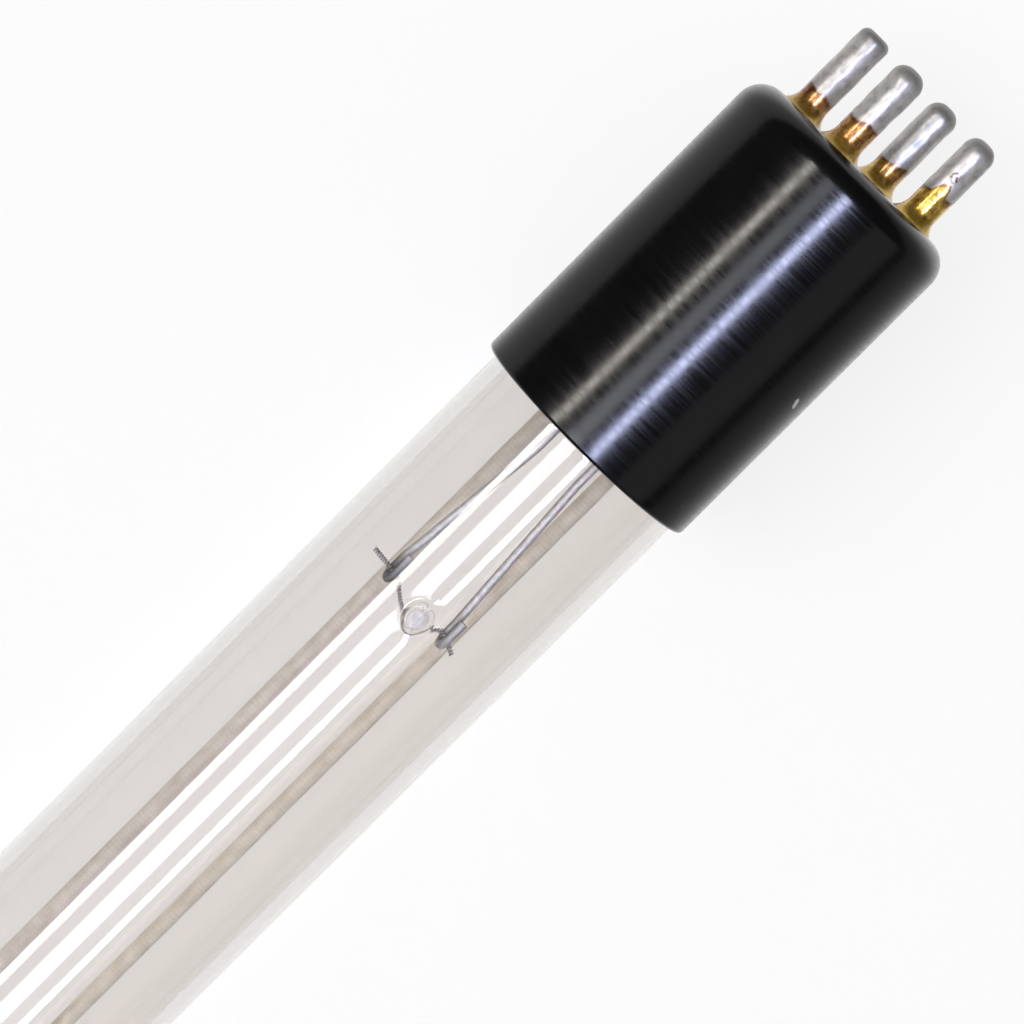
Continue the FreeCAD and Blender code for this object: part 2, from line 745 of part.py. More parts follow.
failed = [item.Label for item in doc.Objects if "Invalid" in item.State or "Error" in item.State]
if failed:
    raise RuntimeError("these objects failed: " + ", ".join(failed))
os.makedirs("parts", exist_ok=True)
for piece in pieces:
    shape = piece.Shape
    if shape.isNull() or not shape.isValid() or not shape.Solids:
        raise RuntimeError(f"{piece.Label} has no valid solid")
for piece in pieces:
    piece.Shape.exportStep(f"parts/{piece.Label}.step")
    box = piece.Shape.BoundBox
    print(f"{piece.Label}: {piece.Shape.Volume:.3f} mm3, x {box.XMin:.2f} to {box.XMax:.2f}, "
          f"z {box.ZMin:.2f} to {box.ZMax:.2f}, {len(piece.Shape.Solids)} solid")
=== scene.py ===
import math
import random

import bmesh
import bpy
from mathutils import Matrix, Vector, noise


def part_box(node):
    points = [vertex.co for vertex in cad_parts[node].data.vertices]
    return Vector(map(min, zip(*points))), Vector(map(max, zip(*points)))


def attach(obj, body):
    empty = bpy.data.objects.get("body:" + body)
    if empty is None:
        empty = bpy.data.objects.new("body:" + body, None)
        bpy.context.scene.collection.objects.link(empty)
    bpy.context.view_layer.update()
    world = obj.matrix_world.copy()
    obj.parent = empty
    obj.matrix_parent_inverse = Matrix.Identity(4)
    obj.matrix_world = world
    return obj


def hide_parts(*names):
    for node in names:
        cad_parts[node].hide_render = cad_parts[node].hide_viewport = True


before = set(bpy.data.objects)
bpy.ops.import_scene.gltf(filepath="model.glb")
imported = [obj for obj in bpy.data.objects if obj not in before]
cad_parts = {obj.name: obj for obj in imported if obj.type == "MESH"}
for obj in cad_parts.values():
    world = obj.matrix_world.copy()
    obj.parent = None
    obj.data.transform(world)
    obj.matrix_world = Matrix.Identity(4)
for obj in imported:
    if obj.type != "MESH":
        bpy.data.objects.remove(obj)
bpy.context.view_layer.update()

# A single-ended ultraviolet quartz lamp. Sizes are in millimetres and angles in degrees.
# X runs along the lamp to the pins, Z is up. MM turns millimetres into Blender's metres.
MM = 0.001


def node_box(name):
    """A CAD node's lowest and highest corners in millimetres."""
    low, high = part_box(name)
    return Vector(low) / MM, Vector(high) / MM


def node_centre(name):
    """The Y and Z of a CAD node's middle in millimetres."""
    low, high = node_box(name)
    return (low.y + high.y) / 2, (low.z + high.z) / 2


# Places read from the frame
cap_low, cap_high = node_box("base_cap")
far_low, far_high = node_box("far_cap")
tube_low, tube_high = node_box("quartz_tube")
sleeve_low, sleeve_high = node_box("return_sleeve_1")
AXIS_HEIGHT = (cap_low.z + cap_high.z) / 2
PIN_FACE = cap_high.x
BASE_RIM = cap_low.x
FAR_RIM = far_high.x
FAR_END = far_low.x
SLEEVE_Y, SLEEVE_Z = node_centre("return_sleeve_1")
RIVET_END = node_box("contact_pin_2")[0].x
PIN_CENTRES = {number: node_centre(f"contact_pin_{number}") for number in range(1, 5)}

# Caps
CAP_RADIUS = (cap_high.z - cap_low.z) / 2
CAP_BORE = 8.4
SHOULDER = 2.0
RIM_ROUND = 0.3
BASE_FLOOR = 3.0
FAR_FLOOR = 1.5
CHANNEL_DEPTH = 7.2
CHANNEL_CLEARANCE = 0.05
# The nick on the base cap: its place along and across, and half its length and width
NICK = (88.75, -8.13, 0.42, 0.12)

# Contact pins and their solder
PIN_RADIUS = 1.175
PIN_BORE = 0.65
FLARE_RADIUS = 1.7
FLARE_HEIGHT = 1.1
FLARE_ARC = 1.415
RIVET_RADIUS = 1.55
RIVET_THICKNESS = 0.4
SOLDER_DEPTH = 2.0
SOLDER_CLEARANCE = 0.01
# The pit of burnt flux: its pin, its height above the face, and half its height and width
PITTED_PIN = 4
PIT = (4.0, 0.42, 0.34)

# Quartz tube. A bump is given by its height, its radius and where its foot ends.
TUBE_RADIUS = AXIS_HEIGHT - tube_low.z
TUBE_WALL = 1.0
END_WALL = 0.8
PRESS_LENGTH = 7.0
NECK_LENGTH = 5.5
PRESS_HALF_THICKNESS = 1.5
BORE_HALF_THICKNESS = 0.5
FLATTENING = 1.4
STUB_X = BASE_RIM - 15.2
STUB_Y = -0.6
STUB = (1.3, 0.7, 2.0)
HOLLOW = (0.35, 0.75, 1.7)

# Electrodes. Stations count from a cap's rim along the tube, so what lies in the press is negative.
POST_RADIUS = 0.31
POST_ROOT = -11.0
POST_BEND = 2.6
SEAL_Y = 1.82
HOOK_Y = 2.82
HOOK_REACH = 0.55
HOOK_SLANT = math.radians(20)
HOOK_FOLD = 1.6
COIL_STATION = 15.7
COIL_SKEW = 0.66
COIL_FREE = 2.2
COIL_SAG = 1.1
COIL_PITCH = 0.19
COIL_REACH = 0.16
COIL_WIRE = 0.05
SHORT_TAIL = 1.1
LONG_TAIL = 2.0
TAIL_DROOP = 1.1

# Wires and sleeves
LEAD_RADIUS = 0.2
LEAD_BEND = 0.6
SEAL_DEPTH = 1.0
SEAL_EXIT = 1.2
RIVET_GAP = 1.2
FAR_TURN = 2.25
# How far the return wires lie from the axis in the cement and in the sleeves, and where they change over
CEMENT_RUN = 7.4
SLEEVE_RUN = 8.92
RUN_START = 7.2
RUN_END = 4.4
SLEEVE_RADIUS = (sleeve_high.z - sleeve_low.z) / 2
SLEEVE_BORE = 0.25
SLEEVE_ROWS = 260


def at(x, y, z):
    """A place in metres from millimetres in the row frame."""
    return Vector((x, y, z)) * MM


# Building

def finish_piece(obj, node):
    """Tie a piece to the lamp, and let it stand for its CAD node."""
    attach(obj, "root")
    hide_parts(node)


def add_object(name, mesh, material):
    """Put a mesh in the scene with its material."""
    mesh.materials.append(material)
    obj = bpy.data.objects.new(name, mesh)
    bpy.context.collection.objects.link(obj)
    return obj


def smooth_faces(mesh):
    """Shade all faces of a mesh smooth."""
    mesh.polygons.foreach_set("use_smooth", [True] * len(mesh.polygons))


def add_mesh(name, vertices, faces, material):
    """A mesh object from places in metres."""
    mesh = bpy.data.meshes.new(name)
    mesh.from_pydata([tuple(v) for v in vertices], [], faces)
    mesh.validate()
    mesh.update()
    return add_object(name, mesh, material)


def tube_faces(rows, sides, closed=False, start=0):
    """Faces between rings of points, numbered from a start. A closed tube runs back to its first ring."""
    faces = []
    for row in range(rows if closed else rows - 1):
        this = start + row * sides
        following = start + (row + 1) % rows * sides
        for step in range(sides):
            beside = (step + 1) % sides
            faces.append((this + step, this + beside, following + beside, following + step))
    return faces


def lathe(name, profile, material, segments, centre, closed=True, wobble=None):
    """Turn (x, radius) points about a line along X at centre (y, z)."""
    vertices = []
    for x, radius in profile:
        for step in range(segments):
            angle = 2 * math.pi * step / segments
            r = radius if wobble is None else radius + wobble(x, radius, angle)
            vertices.append(at(x, centre[0] + r * math.cos(angle), centre[1] + r * math.sin(angle)))
    obj = add_mesh(name, vertices, tube_faces(len(profile), segments, closed), material)
    smooth_faces(obj.data)
    tidy_mesh(obj)
    return obj


def tidy_mesh(obj):
    """Merge the points on the axis, and turn all faces outward."""
    grid = bmesh.new()
    grid.from_mesh(obj.data)
    bmesh.ops.remove_doubles(grid, verts=grid.verts, dist=1e-7)
    bmesh.ops.recalc_face_normals(grid, faces=grid.faces)
    grid.to_mesh(obj.data)
    grid.free()


def sharpen(obj, angle):
    """Keep edges sharper than an angle crisp under smooth shading."""
    obj.data.set_sharp_from_angle(angle=math.radians(angle))


def arc(centre, radius, first, last, steps):
    """Points (x, radius) along an arc, both ends included."""
    points = []
    for step in range(steps + 1):
        angle = math.radians(first + (last - first) * step / steps)
        points.append((centre[0] + radius * math.cos(angle), centre[1] + radius * math.sin(angle)))
    return points


def cut(obj, cutters):
    """Take cutters away from an object, and bake the result into its mesh."""
    for cutter in cutters:
        modifier = obj.modifiers.new("cut", "BOOLEAN")
        modifier.operation = "DIFFERENCE"
        modifier.solver = "EXACT"
        modifier.object = cutter
    depsgraph = bpy.context.evaluated_depsgraph_get()
    baked = bpy.data.meshes.new_from_object(obj.evaluated_get(depsgraph))
    obj.modifiers.clear()
    obj.data = baked
    for cutter in cutters:
        bpy.data.objects.remove(cutter)


def round_path(corners, bend):
    """Points along straight runs through corners, with an arc of a bend radius at each one."""
    corners = [Vector(c) for c in corners]
    points = [corners[0]]
    for before, corner, after in zip(corners, corners[1:], corners[2:]):
        way_in = (corner - before).normalized()
        way_out = (after - corner).normalized()
        angle = way_in.angle(way_out)
        if angle < 1e-3:
            continue
        setback = bend * math.tan(angle / 2)
        start = corner - way_in * setback
        to_centre = (way_out - way_in).normalized()
        centre = corner + to_centre * (bend / math.cos(angle / 2))
        axis = way_in.cross(way_out).normalized()
        steps = max(3, round(math.degrees(angle) / 7))
        for step in range(steps + 1):
            turned = Matrix.Rotation(angle * step / steps, 3, axis) @ (start - centre)
            points.append(centre + turned)
    points.append(corners[-1])
    return points


def rod(name, points, radius, material, sides):
    """A round wire along points, as a mesh with closed ends."""
    vertices = []
    across = None
    for index, point in enumerate(points):
        before = points[max(index - 1, 0)]
        after = points[min(index + 1, len(points) - 1)]
        along = (after - before).normalized()
        if across is None:
            across = along.orthogonal().normalized()
        across = (across - along * across.dot(along)).normalized()
        up = along.cross(across)
        for step in range(sides):
            angle = 2 * math.pi * step / sides
            vertices.append((point + (across * math.cos(angle) + up * math.sin(angle)) * radius) * MM)
    faces = [tuple(reversed(range(sides))), tuple(range(len(vertices) - sides, len(vertices)))]
    faces += tube_faces(len(points), sides)
    obj = add_mesh(name, vertices, faces, material)
    smooth_faces(obj.data)
    sharpen(obj, 50)
    return obj


# Materials

class Nodes:
    """A small helper round one node tree."""

    def __init__(self, tree):
        self.tree = tree
        tree.nodes.clear()

    def node(self, kind, **settings):
        """A new node with some of its settings."""
        made = self.tree.nodes.new(kind)
        for key, setting in settings.items():
            setattr(made, key, setting)
        return made

    def link(self, source, target):
        self.tree.links.new(source, target)

    def math(self, operation, first, second=0.0, third=None, clamp=False):
        """A sum of numbers or sockets."""
        made = self.node("ShaderNodeMath", operation=operation, use_clamp=clamp)
        for index, item in enumerate((first, second, third)):
            if item is None:
                continue
            if isinstance(item, (int, float)):
                made.inputs[index].default_value = item
            else:
                self.link(item, made.inputs[index])
        return made.outputs[0]


class Shader(Nodes):
    """A material that starts as one plain surface."""

    def __init__(self, name):
        self.material = bpy.data.materials.new(name)
        self.material.use_nodes = True
        super().__init__(self.material.node_tree)
        self.output = self.node("ShaderNodeOutputMaterial")
        self.surface = self.node("ShaderNodeBsdfPrincipled")
        self.link(self.surface.outputs[0], self.output.inputs["Surface"])

    def set(self, **values):
        """Give the surface plain numbers or colours, by its inputs' names."""
        for key, number in values.items():
            self.surface.inputs[key.replace("_", " ")].default_value = number

    def feed(self, **sources):
        """Link sockets to the surface's inputs, by their names."""
        for key, source in sources.items():
            self.link(source, self.surface.inputs[key.replace("_", " ")])

    def place(self, scale=(1, 1, 1)):
        """The object's own coordinates in millimetres, stretched by scale."""
        coordinates = self.node("ShaderNodeTexCoord")
        mapping = self.node("ShaderNodeMapping")
        mapping.inputs["Scale"].default_value = [s / MM for s in scale]
        self.link(coordinates.outputs["Object"], mapping.inputs["Vector"])
        return mapping.outputs[0]

    def coordinate(self, axis):
        """One of the object's own coordinates in millimetres."""
        split = self.node("ShaderNodeSeparateXYZ")
        self.link(self.place(), split.inputs[0])
        return split.outputs[axis]

    def beyond(self, axis, start):
        """How far a point lies beyond a start along one axis, in millimetres."""
        return self.math("SUBTRACT", self.coordinate(axis), start)

    def squares(self, first, second):
        """The sum of two squares."""
        return self.math("ADD", self.math("MULTIPLY", first, first), self.math("MULTIPLY", second, second))

    def noise(self, scale, detail=3.0, stretch=(1, 1, 1), roughness=0.5):
        made = self.node("ShaderNodeTexNoise")
        made.inputs["Scale"].default_value = scale
        made.inputs["Detail"].default_value = detail
        made.inputs["Roughness"].default_value = roughness
        self.link(self.place(stretch), made.inputs["Vector"])
        return made.outputs["Fac"]

    def ramp(self, source, *stops):
        """A colour ramp with (position, colour) stops."""
        made = self.node("ShaderNodeValToRGB")
        while len(made.color_ramp.elements) < len(stops):
            made.color_ramp.elements.new(0.5)
        for element, (position, colour) in zip(made.color_ramp.elements, stops):
            element.position = position
            element.color = (*colour, 1)
        self.link(source, made.inputs["Fac"])
        return made.outputs["Color"]

    def range(self, source, low, high, to_low, to_high):
        """A soft step from one number to another while the source goes from low to high."""
        made = self.node("ShaderNodeMapRange", interpolation_type="SMOOTHSTEP")
        for index, number in enumerate((low, high, to_low, to_high), start=1):
            made.inputs[index].default_value = number
        self.link(source, made.inputs[0])
        return made.outputs[0]

    def mix(self, factor, first, second):
        """A mix of two colours, each a socket or plain numbers."""
        made = self.node("ShaderNodeMix", data_type="RGBA")
        self.link(factor, made.inputs["Factor"])
        for socket, item in (("A", first), ("B", second)):
            target = [i for i in made.inputs if i.name == socket and i.type == "RGBA"][0]
            if isinstance(item, tuple):
                target.default_value = (*item, 1)
            else:
                self.link(item, target)
        return [o for o in made.outputs if o.type == "RGBA"][0]

    def blend(self, factor, first, second):
        """A mix of two surfaces."""
        made = self.node("ShaderNodeMixShader")
        for index, source in enumerate((factor, first, second)):
            self.link(source, made.inputs[index])
        return made.outputs[0]

    def bump(self, height, strength, distance):
        """Raise the surface's shading by a height map, over a distance in millimetres."""
        made = self.node("ShaderNodeBump")
        made.inputs["Strength"].default_value = strength
        made.inputs["Distance"].default_value = distance * MM
        self.link(height, made.inputs["Height"])
        self.feed(Normal=made.outputs[0])


def cap_material():
    """Black satin plastic with fine turning lines, a few specks of dust and one nick on the base cap."""
    shader = Shader("black_cap_plastic")
    lines = shader.noise(4.5, detail=4, stretch=(1, 0.02, 0.02), roughness=0.75)
    patches = shader.noise(0.35, detail=3)
    colour = shader.ramp(patches, (0.3, (0.0022, 0.0022, 0.0028)), (0.75, (0.0042, 0.0039, 0.0045)))
    dust = shader.node("ShaderNodeTexVoronoi")
    dust.inputs["Scale"].default_value = 0.32
    shader.link(shader.place(), dust.inputs["Vector"])
    specks = shader.range(dust.outputs["Distance"], 0.018, 0.03, 0.5, 0.0)
    colour = shader.mix(specks, colour, (0.10, 0.10, 0.11))
    worn = nick_mask(shader)
    colour = shader.mix(worn, colour, (0.55, 0.54, 0.53))
    rough = shader.range(lines, 0.34, 0.68, 0.155, 0.25)
    shader.feed(Base_Color=colour, Roughness=shader.math("MULTIPLY_ADD", worn, 0.4, rough))
    shader.set(Specular_IOR_Level=0.40)
    shader.bump(lines, 0.35, 0.012)
    return shader.material


def nick_mask(shader):
    """One where the light nick lies on the base cap's side, and nought elsewhere."""
    place_x, place_y, half_length, half_width = NICK
    along = shader.beyond("X", place_x)
    across = shader.math("MULTIPLY_ADD", along, -0.24, shader.beyond("Y", place_y))
    upper = shader.math("GREATER_THAN", shader.coordinate("Z"), AXIS_HEIGHT)
    ragged = shader.math("MULTIPLY_ADD", shader.noise(3.0, detail=3), 0.6, -0.3)
    spread = shader.math("POWER", shader.math("ABSOLUTE", shader.math("DIVIDE", along, half_length)), 3.0)
    width = shader.math("POWER", shader.math("ABSOLUTE", shader.math("DIVIDE", across, half_width)), 2.0)
    distance = shader.math("ADD", shader.math("ADD", spread, width), ragged)
    return shader.math("MULTIPLY", shader.range(distance, 0.6, 1.1, 0.9, 0.0), upper)


def quartz_material():
    """Clear fused quartz, milky on its sealed stub. Shadow rays pass it almost unweakened."""
    shader = Shader("clear_quartz")
    shader.set(Base_Color=(0.834, 0.809, 0.786, 1), Transmission_Weight=1.0, Roughness=0.0, IOR=1.458)
    height = shader.beyond("Z", AXIS_HEIGHT)
    # Painted shade on the gloss: the reflections are dimmed from just above the axis down to the underside
    # of the tube.
    shader.feed(Specular_Tint=shader.range(height, -6.0, 1.0, 0.12, 1.0))
    drawn = shader.noise(0.7, detail=1, stretch=(0.01, 1, 1))
    shader.bump(drawn, 0.02, 0.002)
    milky = shader.node("ShaderNodeBsdfDiffuse")
    streaks = shader.noise(5.0, detail=3, stretch=(0.5, 1, 1))
    pale = shader.ramp(streaks, (0.35, (0.66, 0.63, 0.71)), (0.65, (0.90, 0.88, 0.94)))
    shader.link(pale, milky.inputs["Color"])
    body = shader.blend(stub_mask(shader, height), shader.surface.outputs[0], milky.outputs[0])
    clear = shader.node("ShaderNodeBsdfTransparent")
    clear.inputs[0].default_value = (0.93, 0.93, 0.93, 1)
    path = shader.node("ShaderNodeLightPath")
    shader.link(shader.blend(path.outputs["Is Shadow Ray"], body, clear.outputs[0]),
                shader.output.inputs["Surface"])
    return shader.material


def stub_mask(shader, height):
    """How milky the quartz is: most on the stub's top, and not at all elsewhere."""
    along = shader.math("MULTIPLY", shader.beyond("X", STUB_X), 0.8)
    distance = shader.squares(along, shader.beyond("Y", STUB_Y))
    top = shader.math("GREATER_THAN", height, TUBE_RADIUS - 0.3)
    return shader.math("MULTIPLY", shader.range(distance, 0.2, 0.55, 0.8, 0.0), top)


def post_material():
    """Dull nickel wire, darkened by heat at the hooks, most on the left one."""
    shader = Shader("nickel_posts")
    stains = shader.noise(2.5, detail=4)
    colour = shader.ramp(stains, (0.3, (0.24, 0.235, 0.23)), (0.7, (0.38, 0.37, 0.36)))
    base_end = shader.math("ABSOLUTE", shader.beyond("X", BASE_RIM - COIL_STATION))
    far_end = shader.math("ABSOLUTE", shader.beyond("X", FAR_RIM + COIL_STATION))
    heat = shader.range(shader.math("MINIMUM", base_end, far_end), 0.6, 2.6, 0.95, 0.0)
    heat = shader.math("MULTIPLY", heat, shader.range(shader.coordinate("Y"), -2.0, 2.0, 0.45, 1.0))
    shader.feed(Base_Color=shader.mix(heat, colour, (0.075, 0.075, 0.08)))
    shader.set(Metallic=0.5, Roughness=0.5)
    shader.bump(shader.noise(14.0, detail=2), 0.1, 0.02)
    return shader.material


def metal(name, dark, light, roughness, scale=3.0, bump=0.1, stretch=(1, 1, 1), metallic=1.0):
    """A metal with soft stains and a fine worked surface."""
    shader = Shader(name)
    stains = shader.noise(scale, detail=4, stretch=stretch)
    shader.feed(Base_Color=shader.ramp(stains, (0.3, dark), (0.7, light)),
                Roughness=shader.range(stains, 0.2, 0.8, roughness * 0.8, roughness * 1.25))
    shader.set(Metallic=metallic)
    shader.bump(shader.noise(scale * 6, detail=2, stretch=stretch), bump, 0.02)
    return shader.material


def tin_colour(shader, height):
    """Dull solder with grey stains, darker towards the tips of the pins."""
    stains = shader.noise(1.6, detail=5, roughness=0.62)
    tin = shader.ramp(stains, (0.28, (0.30, 0.29, 0.285)), (0.5, (0.51, 0.49, 0.475)),
                      (0.72, (0.59, 0.565, 0.545)))
    return shader.mix(shader.range(height, 5.7, 6.9, 0.0, 0.8), tin, (0.21, 0.20, 0.195))


def solder_material():
    """The solder that closes the pins, as the tinned part of the pins."""
    shader = Shader("pin_solder_metal")
    shader.feed(Base_Color=tin_colour(shader, shader.beyond("X", PIN_FACE)))
    shader.set(Metallic=0.45, Roughness=0.42, Coat_Weight=0.15, Coat_Roughness=0.18)
    shader.bump(shader.noise(2.6, detail=4), 0.25, 0.05)
    return shader.material


def tin_level(shader, height, across, tin_start, lean, tongue):
    """How far a point lies above the solder's ragged edge, which leans and leaves a tongue of brass."""
    level = shader.math("MULTIPLY_ADD", across, lean, shader.math("SUBTRACT", height, tin_start))
    squared = shader.math("MULTIPLY", across, across)
    level = shader.math("SUBTRACT", level, shader.range(squared, 0.02, 0.34, tongue, 0.0))
    ragged = shader.math("SUBTRACT", shader.noise(0.9, detail=3), 0.5)
    return shader.math("MULTIPLY_ADD", ragged, 0.9, level)


def brass_colour(shader, golden):
    """Stained brass, from brown at nought to golden at one."""
    stain = shader.noise(2.2, detail=5, roughness=0.7)
    brown = ((0.11, 0.03, 0.006), (0.35, 0.13, 0.025), (0.60, 0.34, 0.13))
    gold = ((0.22, 0.09, 0.006), (0.52, 0.30, 0.022), (0.86, 0.60, 0.13))
    shades = [tuple(b + (g - b) * golden for b, g in zip(*pair)) for pair in zip(brown, gold)]
    return shader.ramp(stain, *zip((0.34, 0.48, 0.66), shades))


def pit_mask(shader, height, across, middle_z):
    """One in the pit of burnt flux on a pin's upper side, and nought elsewhere."""
    place, half_height, half_width = PIT
    along = shader.math("DIVIDE", shader.math("SUBTRACT", height, place), half_height)
    aside = shader.math("DIVIDE", across, half_width)
    pit = shader.range(shader.squares(along, aside), 0.5, 1.2, 1.0, 0.0)
    return shader.math("MULTIPLY", pit, shader.math("GREATER_THAN", shader.coordinate("Z"), middle_z))


def pin_material(number, tin_start, lean, tongue, golden):
    """Brass below and solder above, with a brown line of flux between them and a yellow foot."""
    shader = Shader(f"pin_{number}_brass_and_tin")
    middle_y, middle_z = PIN_CENTRES[number]
    height = shader.beyond("X", PIN_FACE)
    across = shader.beyond("Y", middle_y)
    level = tin_level(shader, height, across, tin_start, lean, tongue)
    tinned = shader.range(level, -0.06, 0.06, 0.0, 1.0)
    colour = shader.mix(tinned, brass_colour(shader, golden), tin_colour(shader, height))
    edge = shader.range(shader.math("ABSOLUTE", shader.math("ADD", level, 0.12)), 0.03, 0.28, 0.85, 0.0)
    colour = shader.mix(edge, colour, (0.16, 0.065, 0.02))
    foot = shader.range(height, 0.1, 1.1, 0.7, 0.0)
    colour = shader.mix(foot, colour, (0.52, 0.33, 0.03))
    bumps = shader.noise(2.6, detail=4)
    if number == PITTED_PIN:
        pit = pit_mask(shader, height, across, middle_z)
        crumbs = shader.noise(4.5, detail=2)
        burnt = shader.ramp(crumbs, (0.42, (0.09, 0.06, 0.045)), (0.56, (0.60, 0.54, 0.46)))
        colour = shader.mix(pit, colour, burnt)
        bumps = shader.math("MULTIPLY_ADD", shader.math("MULTIPLY", pit, crumbs), 2.5, bumps)
    shader.feed(Base_Color=colour,
                Metallic=shader.math("MULTIPLY_ADD", tinned, -0.25, 0.7),
                Roughness=shader.math("MULTIPLY_ADD", tinned, 0.14, 0.28),
                Coat_Weight=shader.math("MULTIPLY_ADD", tinned, -0.7, 0.85))
    shader.set(Coat_Roughness=0.18)
    shader.bump(bumps, 0.25, 0.05)
    return shader.material


def sleeve_material():
    """Pale woven glass fibre: two crossed sets of fine yarns."""
    shader = Shader("woven_glass_sleeve")
    along = shader.math("MULTIPLY", shader.coordinate("X"), 9.0)
    across = shader.coordinate("Y")
    slants = [shader.math("MULTIPLY_ADD", across, slope, along) for slope in (9.0, -9.0)]
    weave = shader.math("MULTIPLY", *[shader.math("SINE", slant) for slant in slants])
    patches = shader.math("MULTIPLY_ADD", weave, 0.1, shader.noise(0.8, detail=3))
    shader.feed(Base_Color=shader.ramp(patches, (0.3, (0.43, 0.39, 0.30)), (0.7, (0.58, 0.545, 0.445))))
    shader.set(Roughness=0.75, Sheen_Weight=0.6, Sheen_Roughness=0.5, Sheen_Tint=(1.0, 0.96, 0.88, 1))
    shader.bump(weave, 0.25, 0.04)
    return shader.material


def cement_material():
    """Dull sandy cement."""
    shader = Shader("basing_cement")
    grain = shader.noise(4.0, detail=5)
    shader.feed(Base_Color=shader.ramp(grain, (0.3, (0.50, 0.46, 0.40)), (0.7, (0.68, 0.64, 0.57))))
    shader.set(Roughness=0.9)
    shader.bump(grain, 0.4, 0.08)
    return shader.material


black_cap = cap_material()
quartz = quartz_material()
nickel = post_material()
tungsten = metal("tungsten_coil", (0.13, 0.125, 0.12), (0.34, 0.325, 0.31), 0.45, scale=4.0, metallic=0.7)
molybdenum = metal("molybdenum_foil", (0.32, 0.32, 0.34), (0.52, 0.52, 0.54), 0.35, stretch=(0.1, 1, 1))
lead_wire = metal("tinned_lead_wire", (0.4, 0.4, 0.4), (0.68, 0.68, 0.67), 0.3)
solder = solder_material()
mercury = metal("liquid_mercury", (0.72, 0.72, 0.74), (0.8, 0.8, 0.82), 0.05, bump=0.0)
woven = sleeve_material()
cement = cement_material()


# Caps

def make_cap(name, rim, face, floor, node):
    """A turned cup, open at its rim, with a round shoulder and two channels for the sleeves."""
    way = 1 if face > rim else -1
    length = abs(face - rim)

    def along(distance):
        return face - way * distance

    profile = [(face, 0.0)]
    for x, r in arc((SHOULDER, CAP_RADIUS - SHOULDER), SHOULDER, 180, 90, 18):
        profile.append((along(x), r))
    rows = 40
    for step in range(1, rows):
        profile.append((along(SHOULDER + (length - SHOULDER - RIM_ROUND) * step / rows), CAP_RADIUS))
    for x, r in arc((length - RIM_ROUND, CAP_RADIUS - RIM_ROUND), RIM_ROUND, 90, 0, 6):
        profile.append((along(x), r))
    profile += [(rim, CAP_BORE), (along(floor), CAP_BORE), (along(floor), 0.0)]
    cap = lathe(name, profile, black_cap, segments=256, centre=(0.0, AXIS_HEIGHT), closed=False)
    cut(cap, [sleeve_channel(f"{name}_channel", rim, way, side) for side in (-1, 1)])
    smooth_faces(cap.data)
    sharpen(cap, 30)
    finish_piece(cap, node)


def sleeve_channel(name, rim, way, side):
    """The round cutter for one sleeve's channel in a cap's rim."""
    r = SLEEVE_RADIUS + CHANNEL_CLEARANCE
    start, end = rim - way * 1.0, rim + way * CHANNEL_DEPTH
    return lathe(name, [(start, 0.0), (start, r), (end, r), (end, 0.0)], black_cap,
                 segments=48, centre=(side * SLEEVE_Y, SLEEVE_Z), closed=False)


make_cap("base_cap_shell", BASE_RIM, PIN_FACE, BASE_FLOOR, "base_cap")
make_cap("far_cap_shell", FAR_RIM, FAR_END, FAR_FLOOR, "far_cap")


# Contact pins

PINS = (
    # number, height of the solder's edge, how it leans, the tongue of brass in it, how golden the brass is,
    # height of the dome
    (1, 1.75, 0.05, 0.0, 0.05, 0.6),
    (2, 2.35, 0.16, 0.0, 0.2, 1.0),
    (3, 1.9, 0.18, 0.0, 0.5, 1.0),
    (4, 2.5, 0.22, 0.95, 1.0, 1.0),
)


def make_pin(number, tin_start, lean, tongue, golden, dome):
    """A hollow pin with a flared foot, and the solder that fills and domes it."""
    centre = PIN_CENTRES[number]
    root = node_box(f"contact_pin_{number}")[0].x
    tip = node_box(f"pin_solder_{number}")[1].x
    top = tip - dome
    random.seed(number)
    shift = Vector((random.random(), random.random(), random.random())) * 40

    def lumps(x, radius, angle):
        """Uneven solder on the pin, thicker above the edge of the tinned part."""
        if x < PIN_FACE or radius < PIN_RADIUS * 0.2:
            return 0.0
        point = Vector((x * 0.7, 1.2 * math.cos(angle), 1.2 * math.sin(angle))) + shift
        above = min(max((x - PIN_FACE - tin_start + 0.3) / 0.8, 0.0), 1.0)
        return (noise.noise(point) * 0.045 + noise.noise(point * 2.7) * 0.02) * (0.25 + above)

    shank = PIN_FACE + FLARE_HEIGHT
    profile = [(root, PIN_BORE), (root, RIVET_RADIUS), (root + RIVET_THICKNESS, RIVET_RADIUS),
               (root + RIVET_THICKNESS, PIN_RADIUS), (PIN_FACE, PIN_RADIUS), (PIN_FACE, FLARE_RADIUS)]
    profile += arc((shank, PIN_RADIUS + FLARE_ARC), FLARE_ARC, 219, 270, 12)[1:]
    rows = 28
    for step in range(1, rows + 1):
        profile.append((shank + (top - PIN_FACE - FLARE_HEIGHT) * step / rows, PIN_RADIUS))
    profile.append((top, PIN_BORE))
    metals = pin_material(number, tin_start, lean, tongue, golden)
    pin = lathe(f"pin_{number}", profile, metals, segments=72, centre=centre, wobble=lumps)
    sharpen(pin, 40)
    finish_piece(pin, f"contact_pin_{number}")

    core = PIN_BORE - SOLDER_CLEARANCE
    profile = [(top - SOLDER_DEPTH, 0.0), (top - SOLDER_DEPTH, core), (top, core), (top, PIN_RADIUS)]
    profile += arc((top, PIN_RADIUS - dome), dome, 90, 0, 14)[1:]
    profile.append((tip, 0.0))
    cap = lathe(f"solder_{number}", profile, solder, segments=72, centre=centre, closed=False, wobble=lumps)
    sharpen(cap, 50)
    finish_piece(cap, f"pin_solder_{number}")


for pin in PINS:
    make_pin(*pin)


# Quartz tube

